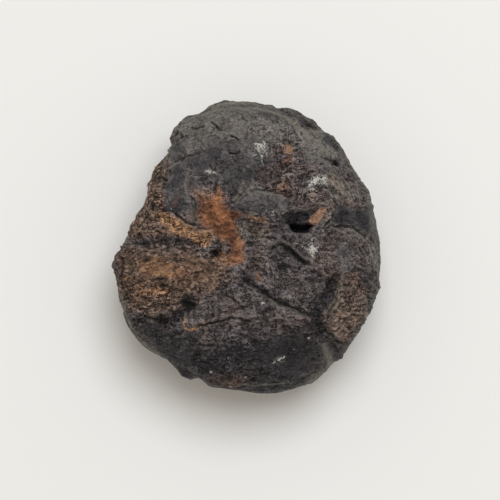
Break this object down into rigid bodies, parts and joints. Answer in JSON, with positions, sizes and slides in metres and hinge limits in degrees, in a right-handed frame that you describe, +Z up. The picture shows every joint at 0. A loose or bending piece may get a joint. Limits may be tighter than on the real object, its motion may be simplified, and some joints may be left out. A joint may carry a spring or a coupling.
{
  "type": "pyrite ammonite fossil",
  "caption": "Weathered, disc-shaped ammonite nodule turned to dark pyrite, with cracks, ledges, pits and rust, lying on its flank.",
  "frame": {"origin": "middle of the outline seen from above, on the surface that the fossil lies on", "axes": "+Z up through the two flanks, +Y along the longest side towards the smoother and paler end, +X towards the fuller side, away from the straight stretch of the outline"},
  "size_m": [0.051, 0.056, 0.0276],
  "materials": {
    "pyrite": "satin, with dull rust-brown crust"
  },
  "bodies": {
    "root": {"ammonite": "pyrite"}
  },
  "joints": []
}
